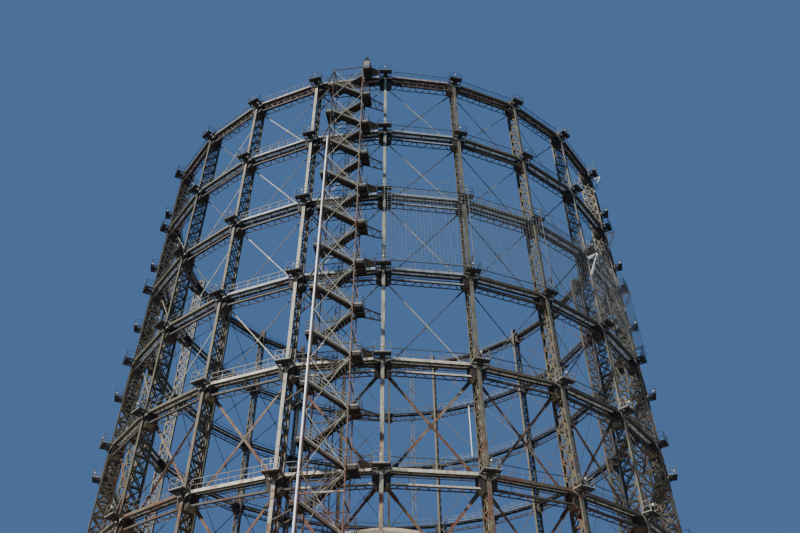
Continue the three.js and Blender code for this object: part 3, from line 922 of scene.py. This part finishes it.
def flight(bm, level, foot_height):
    """A flight down from a level: even ones run down to the left in the inner lane."""
    leftwards = level % 2 == 0
    near, far = INNER_LANE if leftwards else OUTER_LANE
    start, end = (FLIGHT_RIGHT, FLIGHT_LEFT) if leftwards else (FLIGHT_LEFT, FLIGHT_RIGHT)
    top = level_height(level)
    going = (end - start) / TREADS
    rise = (top - foot_height) / TREADS
    for tread in range(1, TREADS):
        middle = start + going * tread
        height = top - rise * tread
        half = 0.55 * going
        low = at(middle - half, near, height - TREAD_PLATE)
        block(bm, low, at(middle + half, far, height), UNDERSIDE)
        nose = middle + 0.5 * going
        low = at(nose - math.copysign(NOSE_DEPTH, going), near, height - 0.09 * M)
        block(bm, low, at(nose, far, height + 0.01 * M), TREAD)
    for out in (near, far):
        high = at(start, out, top - 0.06 * M)
        low = at(end, out, foot_height - 0.06 * M)
        beam(bm, high, low, STRINGER, STRINGER_PLATE, finish=UNDERSIDE)
        lip = Vector((0, 0, STRINGER * 0.62))
        beam(bm, high + lip, low + lip, 0.04 * M, 0.04 * M, finish=STRIP)
        head, foot = at(start, out, top), at(end, out, foot_height)
        rail_run(bm, head, foot, 3, FLIGHT_RAILS, STAIR_TUBE, STAIR_RAIL_SIZE)


def landing(bm, level):
    """A landing across both lanes: grating on joists, a dark skirt under a pale kerb, and rails.
    The floor, joists and skirt are near-black painted shade.
    """
    right = level % 2 == 0
    near, far = INNER_LANE[0], OUTER_LANE[1]
    inner, tip = (FLIGHT_RIGHT, LANDING_RIGHT) if right else (FLIGHT_LEFT, LANDING_LEFT)
    low, high = sorted((inner, tip))
    floor = level_height(level)
    block(bm, at(low, near, floor - 0.05 * M), at(high, far, floor - 0.01 * M), UNDERSIDE)
    for out in (near + 0.1 * M, (near + far) / 2, far - 0.1 * M):
        joist = at(low, out - 0.03 * M, floor - 0.24 * M)
        block(bm, joist, at(high, out + 0.03 * M, floor), UNDERSIDE)
    skirt = floor - LANDING_SKIRT
    for along in (low + 0.02 * M, high - 0.05 * M):
        block(bm, at(along, near, skirt), at(along + LANDING_PLATE, far, floor), UNDERSIDE)
    face = far - LANDING_PLATE
    block(bm, at(low, face, skirt), at(high, far, floor), UNDERSIDE)
    block(bm, at(low, face, floor), at(high, far, floor + LANDING_KERB), STRIP)
    edge = tip - math.copysign(LANDING_PLATE, tip)
    block(bm, at(edge, near, skirt), at(tip, far, floor), UNDERSIDE)
    block(bm, at(edge, near, floor), at(tip, far, floor + LANDING_KERB), STRIP)
    if level == 0:
        return
    ends = [(at(edge, near, floor), at(edge, face, floor), 2)]
    for out in (near, face):
        ends.append((at(inner, out, floor), at(edge, out, floor), 1))
    for start, end, spans in ends:
        rail_run(bm, start, end, spans, LANDING_RAILS, STAIR_TUBE, STAIR_RAIL_SIZE)


def add_stair_lengths():
    for number, (first, last) in enumerate(LENGTH_ENDS, start=1):
        bm = bmesh.new()
        for level in range(first, last + 1):
            landing(bm, level)
            flight(bm, level, level_height(level + 1) if level < LEVELS else LAST_FOOT)
        turn_mesh(bm, TOWER_TURN)
        finish_piece(
            f"stair_{number}_flights", bm, [SOOT_AND_SHADE, TAN, DUN, DUN],
            [f"stair_length_{number}"],
        )


def add_stair_frame():
    """Four angle posts, and beams across the back and sides at each level."""
    bm = bmesh.new()
    half = POST_SIZE / 2
    for along in (LEFT_POST, RIGHT_POST):
        for out, top in ((FRONT_POST, STAIR_TOP), (BACK_POST, TOP_DECK)):
            corner = at(along + half, out - 0.6 * half, top)
            block(bm, at(along - half, out - half, 0), corner, POSTS)
            side = math.copysign(half, along)
            corner = at(along + 0.6 * side, out + half, top)
            block(bm, at(along + side, out - half, 0), corner, POSTS)
    runs = [(LEFT_POST, FRONT_POST, RIGHT_POST, FRONT_POST, STAIR_TOP - 0.06 * M)]
    for level in range(LEVELS + 1):
        height = level_height(level) - 0.2 * M
        runs.append((LEFT_POST, BACK_POST, RIGHT_POST, BACK_POST, height))
        for along in (LEFT_POST, RIGHT_POST):
            runs.append((along, BACK_POST, along, FRONT_POST, height))
    for first, near, last, far, height in runs:
        tube(bm, at(first, near, height), at(last, far, height), BEAMS, POST_SIZE)
    turn_mesh(bm, TOWER_TURN)
    finish_piece("stair_posts", bm, [RUST, UMBER], ["stair_frame"])


def add_stair_lacing():
    """Crossed rods on the tower's four sides, and the cable ladder up its back."""
    bm = bmesh.new()
    for level in range(0, LEVELS, 2):
        top = level_height(level) - 0.3 * M
        bottom = max(level_height(level + 2) - 0.3 * M, 0.3 * M)
        faces = (
            (LEFT_POST, FRONT_POST, RIGHT_POST, FRONT_POST, FRONT_RODS),
            (LEFT_POST, BACK_POST, RIGHT_POST, BACK_POST, BACK_RODS),
            (LEFT_POST, BACK_POST, LEFT_POST, FRONT_POST, BACK_RODS),
            (RIGHT_POST, BACK_POST, RIGHT_POST, FRONT_POST, BACK_RODS),
        )
        for first, near, last, far, finish in faces:
            for low, high in ((bottom, top), (top, bottom)):
                tube(bm, at(first, near, low), at(last, far, high), finish, 0.04 * M)
    left, right = LADDER_SIDES
    behind = BACK_POST - 0.03 * M
    for along in LADDER_SIDES:
        tube(bm, at(along, behind, 0), at(along, behind, LADDER_TOP), BACK_RODS, 0.07 * M)
    for index in range(LADDER_RUNGS):
        height = FIRST_RUNG + RUNG_STEP * index
        tube(bm, at(left, behind, height), at(right, behind, height), BACK_RODS, 0.035 * M)
    bar = at(LEFT_POST, FRONT_POST, FRONT_BAR)
    tube(bm, bar, at(RIGHT_POST, FRONT_POST, FRONT_BAR), FRONT_RODS, 0.1 * M)
    turn_mesh(bm, TOWER_TURN)
    finish_piece("stair_lacing", bm, [TAN, UMBER])


def column_corner(side, depth, height):
    """A point on the column left (-1) or right (1) of the tower, so deep from its outer face."""
    turn = Matrix.Rotation(side * HALF_BAY, 4, "Z")
    return turn @ Vector((FRAME_RADIUS - depth, -side * 0.2 * M, height))


def add_truss(bm, chords, points):
    """A flat truss: its chords, and lacing that zigzags through these points."""
    for start, end in chords:
        tube(bm, start, end, size=TIE_SIZE)
    for start, end in zip(points, points[1:]):
        tube(bm, start, end, size=TIE_LACING)


def add_stair_ties():
    """Flat trusses and struts that hold the tower to the columns beside it."""
    bm = bmesh.new()
    for level in range(2, LEVELS, 4):
        height = level_height(level) + 0.15 * M
        tip, far = at(LANDING_RIGHT - 0.04 * M, 1.1 * M, height), column_corner(1, 0.05 * M, height)
        post, near = at(RIGHT_POST, BACK_POST, height), column_corner(1, 0.95 * M, height)
        points = [post.lerp(near, 0.25), tip.lerp(far, 0.3), post.lerp(near, 0.6),
                  tip.lerp(far, 0.75), near]
        add_truss(bm, ((tip, far), (post, near)), points)
    for level in range(1, LEVELS, 4):
        height = level_height(level) - 0.4 * M
        tip = at(LANDING_LEFT + 0.04 * M, INNER_LANE[0], height)
        near = column_corner(-1, 1.35 * M, height)
        post, far = at(LEFT_POST, FRONT_POST, height), column_corner(-1, 0.1 * M, height)
        points = [far, tip.lerp(near, 0.7), post.lerp(far, 0.6), tip.lerp(near, 0.25),
                  post.lerp(far, 0.25)]
        add_truss(bm, ((tip, near), (post, far)), points)
    for ring in range(1, RINGS + 1):
        deck = deck_height(ring)
        height = deck - 0.62 * M
        strut_end = column_corner(-1, 1.3 * M, height)
        tube(bm, at(LEFT_POST, FRONT_POST, height), strut_end, size=TIE_SIZE)
        tip = LANDING_RIGHT - 0.02 * M
        side = COLUMN_ALONG - PLATFORM_HALF
        bridge = [at(tip, 0.3 * M, deck), at(side, 0.3 * M, deck), at(side, 0.85 * M, deck),
                  at(tip, 1.4 * M, deck)]
        plate(bm, [corner - Vector((0, 0, 0.08 * M)) for corner in bridge], 0.05 * M)
        tube(bm, bridge[3], bridge[2], size=TIE_SIZE)
        rail_run(bm, bridge[0], bridge[1], 1, WALKWAY_RAILS)
    turn_mesh(bm, TOWER_TURN)
    finish_piece("stair_ties", bm, [UMBER])


def add_stair_head():
    """The plated parapet of the top landing under a pointed hood of angle bars."""
    bm = bmesh.new()
    low, high = FLIGHT_RIGHT, LANDING_RIGHT
    near, far = 0.96 * M, OUTER_LANE[1]
    floor = STAIR_TOP
    top = floor + 1.2 * M
    thin = 0.04 * M
    panel = at(low + 0.1 * M, far - thin, floor + 0.3 * M)
    block(bm, panel, at(high - 0.08 * M, far, top), PANEL)
    # The end plate facing away from the sun is near-black painted shade.
    block(bm, at(high - thin, near, floor), at(high, far, top), HOOD_BAR)
    block(bm, at(low, near, floor), at(high, near + thin, top), HOOD_BAR)
    trim = 0.06 * M
    for edge in (floor, top - trim):
        corner = at(high, far, edge + trim)
        block(bm, at(low, far - trim, edge), corner, HEAD_TRIM)
        block(bm, at(high - trim, near, edge), corner, HEAD_TRIM)
    apex = at((low + high) / 2, (near + far) / 2, HOOD_TOP - 0.04 * M)
    for along in (low + 0.03 * M, high - 0.04 * M):
        for out in (near + 0.04 * M, far - 0.04 * M):
            tube(bm, at(along, out, floor), at(along, out, top), HOOD_BAR, 0.07 * M)
            tube(bm, at(along, out, top - 0.03 * M), apex, HOOD_BAR, 0.07 * M)
            halfway = at(along, out, top).lerp(apex, 0.5)
            across = at(low + high - along, out, top).lerp(apex, 0.5)
            tube(bm, halfway, across, HOOD_BAR, 0.04 * M)
    rails = (RAIL_HEIGHT, 0.72 * M, 0.36 * M)
    corner = at(high - thin, INNER_LANE[0], floor)
    rail_run(bm, corner, at(high - thin, near, floor), 1, rails, HEAD_TRIM)
    rail_run(bm, at(low, INNER_LANE[0], floor), corner, 1, rails, HEAD_TRIM)
    turn_mesh(bm, TOWER_TURN)
    finish_piece("stair_head_cabin", bm, [RAIL, SOOT_AND_SHADE, UMBER], ["stair_head"])


# Riser pipes and the cable mast

PIPE_RADIUS = 0.085 * M
PIPE_ALONG = -1.69 * M
PIPE_OUT = 2.088 * M
PIPE_JOINT_STEP = 6 * M
PIPE_JOINT = 0.1 * M
BACK_RISER_BEARING = math.radians(153.4)
BACK_RISER_LENGTH = 9.25 * M
MAST_TOP = 73.6 * M
MAST_BASE = 0.03 * M
MAST_HALF = 0.27 * M
MAST_DEPTH = 0.3 * M
MAST_PANELS = 74


def riser(bm, foot, height):
    """A round pipe, a little thinner than the joints that it has every few metres."""
    joints = round(height / PIPE_JOINT_STEP)
    rounds = [(height / 2, PIPE_RADIUS * 0.94, height)]
    for index in range(joints):
        rounds.append((height * (index + 0.5) / joints, PIPE_RADIUS, PIPE_JOINT))
    for middle, radius, length in rounds:
        bmesh.ops.create_cone(
            bm, cap_ends=True, segments=16, radius1=radius, radius2=radius, depth=length,
            matrix=Matrix.Translation(foot + Vector((0, 0, middle))),
        )


def add_risers():
    bm = bmesh.new()
    riser(bm, at(PIPE_ALONG, PIPE_OUT, 0), PIPE_TOP)
    turn_mesh(bm, TOWER_TURN)
    finish_piece("riser_pipe_white", bm, [WHITE], ["riser_pipe"])
    bm = bmesh.new()
    for level in range(5, LEVELS, 2):
        height = level_height(level) - 0.5 * M
        start = at(PIPE_ALONG, PIPE_OUT, height)
        tube(bm, start, at(LEFT_POST, FRONT_POST, height), size=0.06 * M)
    turn_mesh(bm, TOWER_TURN)
    finish_piece("riser_brackets", bm, [UMBER])
    bm = bmesh.new()
    low = deck_height(3)
    riser(bm, Vector((INNER_FACE, 0, low)), BACK_RISER_LENGTH)
    for height in (low + 0.02 * M, deck_height(2) - GIRDER_FOOT):
        tube(bm, (INNER_FACE, 0, height), (GIRDER_INNER, 0, height), size=0.1 * M)
    turn_mesh(bm, face_outwards(BACK_RISER_BEARING))
    finish_piece("back_riser", bm, [WHITE])


def add_cable_mast():
    """A slim lattice mast for cables, outside the bay opposite the photograph's viewpoint."""
    bm = bmesh.new()
    near = bay_side(GIRDER_OUTER)[0] + 0.08 * M
    far = near + MAST_DEPTH
    for y in (-MAST_HALF, MAST_HALF):
        for x in (near, far):
            tube(bm, (x, y, 0), (x, y, MAST_TOP), size=0.07 * M)
    panel = (MAST_TOP - MAST_BASE) / MAST_PANELS
    for index in range(MAST_PANELS):
        low = MAST_BASE + panel * index
        high = low + panel
        start = MAST_HALF if index % 2 else -MAST_HALF
        for x in (near, far):
            tube(bm, (x, start, low), (x, -start, high), size=0.04 * M)
        for y in (-MAST_HALF, MAST_HALF):
            tube(bm, (near, y, high), (far, y, high), size=0.04 * M)
    for ring in range(2, RINGS + 1):
        height = deck_height(ring) - 0.3 * M
        for y in (-MAST_HALF, MAST_HALF):
            tube(bm, (near - 0.12 * M, y, height), (near, y, height), size=0.08 * M)
    turn_mesh(bm, face_outwards(math.pi - HALF_BAY))
    finish_piece("cable_mast", bm, [DUN])


# Light net: wires and lamp housings hung outside four bays, on arms from five columns

NET_BAYS = 4
NET_RADIUS = 32.59 * M
NET_TOP = NET_HIGH - 1.4 * M
NET_ROWS = 28
NET_COLUMNS = 24
LAMPS_PER_STRIP = 3
NET_WIRE = 0.012 * M
NET_BORDER = 0.035 * M
NET_LAMP = Vector((0.03 * M, 0.13 * M, 0.04 * M))
ARM_REACH = 1.03 * M
LONG_REACH = 1.2 * M
ARM_DROP = 2.3 * M
LOW_ARM = NET_LOW + 1.4 * M
# The numbers of the arms' finishes in their list of materials, each with its bars' size.
BRIGHT_ARM = (0, 0.11 * M)
DARK_ARM = (1, 0.05 * M)


def add_light_net():
    """One mesh of wires per bay, hung from a top cable, its lamps in upright strips."""
    x, half = bay_side(NET_RADIUS)
    half -= 0.01 * M
    border = NET_BORDER / 2
    rows = [NET_LOW + (NET_TOP - NET_LOW) * row / NET_ROWS for row in range(1, NET_ROWS)]
    bm = bmesh.new()
    for height in (NET_LOW + border, NET_TOP, NET_HIGH - border):
        tube(bm, (x, -half, height), (x, half, height), size=NET_BORDER)
    for along in (-half + border, half - border):
        tube(bm, (x, along, NET_LOW), (x, along, NET_HIGH), size=NET_BORDER)
    for height in rows:
        tube(bm, (x, -half, height), (x, half, height), size=NET_WIRE)
    for column in range(1, NET_COLUMNS):
        along = -half + 2 * half * column / NET_COLUMNS
        between_strips = column % (LAMPS_PER_STRIP + 1) == 0
        top = NET_HIGH if between_strips else NET_TOP
        tube(bm, (x, along, NET_LOW), (x, along, top), size=NET_WIRE)
        if between_strips:
            continue
        for height in rows:
            spot = Vector((x, along, height))
            block(bm, spot - NET_LAMP / 2, spot + NET_LAMP / 2)
    turn_mesh(bm, face_outwards(HALF_BAY))
    repeat_round(bm, NET_BAYS)
    finish_piece("light_net_mesh", bm, [CABLE], ["light_net"])


def net_arm(bm, height, reach, kind):
    """An arm from a column's outer flange, with two struts below it."""
    finish, size = kind
    root = OUTER_FACE - 0.02 * M
    tip = OUTER_FACE + reach
    for y in (-0.14 * M, 0.14 * M):
        for foot in (height, height - ARM_DROP):
            tube(bm, (root, y, foot), (tip, 0.4 * y, height), finish, size)
    half = size / 2
    block(bm, (tip - size, -0.1 * M, height - half), (tip, 0.1 * M, height + half), finish)


def add_net_arms():
    """Slim dark arms on the first three columns, and bright longer ones on the last two."""
    bm = bmesh.new()
    for column in range(NET_BAYS + 1):
        arms = bmesh.new()
        net_arm(arms, LOW_ARM, ARM_REACH, DARK_ARM)
        if column < NET_BAYS - 1:
            net_arm(arms, NET_TOP, ARM_REACH, DARK_ARM)
        else:
            net_arm(arms, deck_height(3) - 0.8 * M, LONG_REACH, BRIGHT_ARM)
        if column == NET_BAYS:
            for ring in (1, 2):
                net_arm(arms, deck_height(ring) - 1.1 * M, LONG_REACH, BRIGHT_ARM)
        add_turned(bm, arms, face_outwards(column * BAY_ANGLE))
    finish_piece("light_net_arms", bm, [GALVANISED, UMBER])


# Tank and dome

TANK_RINGS = (0.1 * M, 3.0 * M, 5.9 * M, 8.8 * M)
STRAPS_PER_BAY = 3
DOME_RADIUS = 19.0 * M
DOME_BASE = 11.903 * M
DOME_RISE = 21.3 * M
DOME_GORES = 48
DOME_STEPS = 14
DOME_SKIN = 0.12 * M
DOME_SEAM = 0.05 * M
# The numbers of the tank trim's finishes in its list of materials.
TRIM, ROOF_RAIL = range(2)


def add_tank_trim():
    """Curb angles, stiffening rings and butt straps of the tank, and its roof's handrail."""
    wall_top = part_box("tank_wall")[1].z
    roof_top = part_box("tank_roof")[1].z
    bm = bmesh.new()
    x = TANK_RADIUS + 0.01 * M
    inner = x - 0.1 * M
    side = math.pi * TANK_RADIUS / (STRAPS_PER_BAY * COLUMNS)
    for height in (*TANK_RINGS, wall_top - 0.14 * M):
        block(bm, (inner, -side, height), (x + 0.14 * M, side, height + 0.12 * M), TRIM)
    block(bm, (inner, -0.09 * M, TANK_RINGS[0]), (x + 0.06 * M, 0.09 * M, wall_top), TRIM)
    rail = TANK_RADIUS - 0.15 * M
    start, end = (rail, -side, roof_top), (rail, side, roof_top)
    rail_run(bm, start, end, 1, WALKWAY_RAILS, ROOF_RAIL)
    turn_mesh(bm, face_outwards(0))
    repeat_round(bm, STRAPS_PER_BAY * COLUMNS, BAY_ANGLE / STRAPS_PER_BAY)
    finish_piece("tank_trim", bm, [UMBER, RAIL])


def dome_point(step, inset, least_radius):
    slope = math.pi / 2 * step / DOME_STEPS
    radius = max(DOME_RADIUS * math.cos(slope) - inset, least_radius)
    return Vector((radius, 0, DOME_BASE + (DOME_RISE - inset) * math.sin(slope)))


def add_dome():
    """The dome in flat gores that taper upwards, with standing seams between them."""
    bm = bmesh.new()
    profile = [bm.verts.new(dome_point(step, 0.02 * M, 0.25 * M)) for step in range(DOME_STEPS + 1)]
    edges = [bm.edges.new(pair) for pair in zip(profile, profile[1:])]
    bmesh.ops.spin(
        bm, geom=profile + edges, cent=(0, 0, 0), axis=(0, 0, 1), angle=2 * math.pi,
        steps=DOME_GORES, use_merge=True,
    )
    bmesh.ops.remove_doubles(bm, verts=bm.verts[:], dist=0.0005 * M)
    rim = [edge for edge in bm.edges if edge.is_boundary and edge.calc_length() < 0.1 * M]
    bmesh.ops.holes_fill(bm, edges=rim, sides=DOME_GORES)
    bmesh.ops.recalc_face_normals(bm, faces=bm.faces[:])
    bmesh.ops.solidify(bm, geom=bm.faces[:], thickness=DOME_SKIN)
    bmesh.ops.recalc_face_normals(bm, faces=bm.faces[:])
    finish_piece("dome_shell", bm, [ROOFING], ["dome"])
    bm = bmesh.new()
    for step in range(DOME_STEPS):
        start, end = [dome_point(index, 0.03 * M, 0.3 * M) for index in (step, step + 1)]
        outwards = (start + end) / 2 - Vector((0, 0, DOME_BASE))
        beam(bm, start, end, DOME_SEAM, DOME_SEAM, outwards)
    repeat_round(bm, DOME_GORES, 2 * math.pi / DOME_GORES)
    finish_piece("dome_seams", bm, [ROOFING])


def dress_tank():
    """The tank's own solids stay, with riveted plate as their finish."""
    for node in ("tank_floor", "tank_wall", "tank_roof"):
        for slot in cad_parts[node].material_slots:
            slot.material = TANK_PLATE


# Light and surroundings

FLOOR_RADIUS = 9.0
SUN_STRENGTH = 7.2
SKY_STRENGTH = 0.4


def add_stage():
    bm = bmesh.new()
    bmesh.ops.create_circle(bm, cap_ends=True, segments=64, radius=FLOOR_RADIUS)
    mesh = to_mesh(bm, "floor")
    floor = add_object("floor", mesh)
    material = bpy.data.materials.new("pale_floor")
    material.use_nodes = True
    shader = material.node_tree.nodes["Principled BSDF"]
    shader.inputs["Base Color"].default_value = to_linear("#dededa")
    shader.inputs["Roughness"].default_value = 0.9
    mesh.materials.append(material)


def add_lights():
    sun = bpy.data.lights.new("key_light", "SUN")
    sun.energy = SUN_STRENGTH
    sun.angle = math.radians(4)
    sun.color = (1.0, 0.96, 0.89)
    key = add_object("key_light", sun)
    key.rotation_euler = (math.radians(56), 0, math.radians(-50))
    world = bpy.data.worlds.new("studio")
    world.use_nodes = True
    backdrop = world.node_tree.nodes["Background"]
    backdrop.inputs["Color"].default_value = to_linear("#76a6ec")
    backdrop.inputs["Strength"].default_value = SKY_STRENGTH
    bpy.context.scene.world = world


add_camera()
add_columns()
add_ring_girders()
add_handrails()
add_platforms()
add_braces()
add_stair_lengths()
add_stair_frame()
add_stair_lacing()
add_stair_ties()
add_stair_head()
add_risers()
add_cable_mast()
add_light_net()
add_net_arms()
add_tank_trim()
add_dome()
dress_tank()
add_stage()
add_lights()
